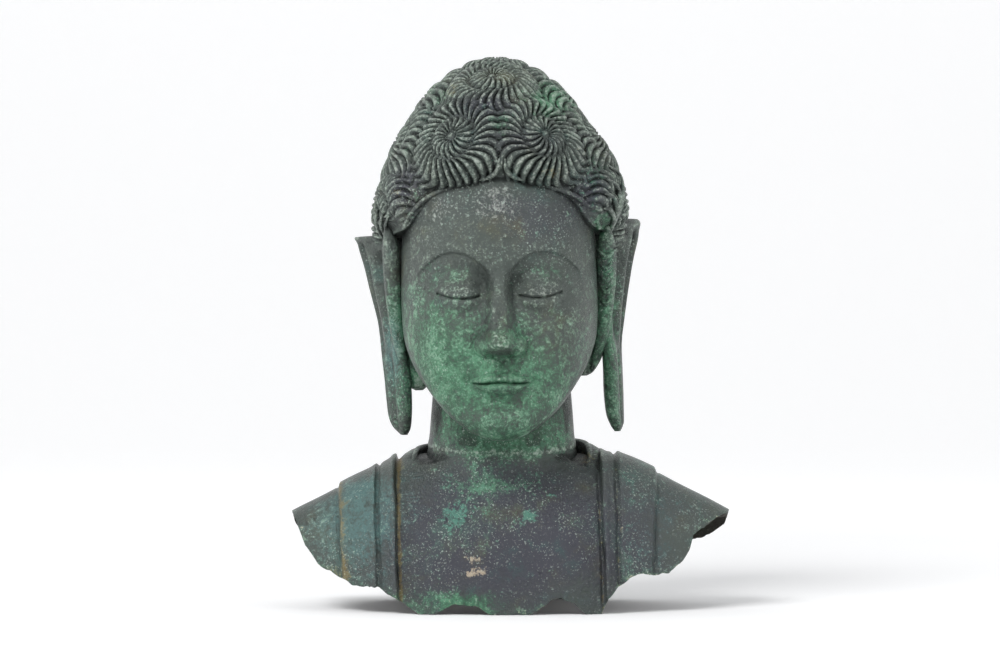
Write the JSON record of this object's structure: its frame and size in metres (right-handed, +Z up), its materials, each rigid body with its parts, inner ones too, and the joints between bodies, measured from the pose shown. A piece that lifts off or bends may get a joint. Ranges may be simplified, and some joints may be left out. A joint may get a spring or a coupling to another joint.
{
  "type": "buddha head sculpture",
  "caption": "Hollow-cast bronze head and shoulders of a Buddha with snail curls, long ears and a draped robe, broken off across the chest and both arms.",
  "frame": {"origin": "on the ground under the middle of the whole bust", "axes": "+Z up from the broken edge to the crown, -Y the way the face looks, +X the viewer's right"},
  "size_m": [0.3368, 0.2088, 0.4201],
  "materials": {
    "bronze": "dark green and brown patina, worn bright on the high points"
  },
  "bodies": {
    "root": {"bust": "bronze"}
  },
  "joints": []
}
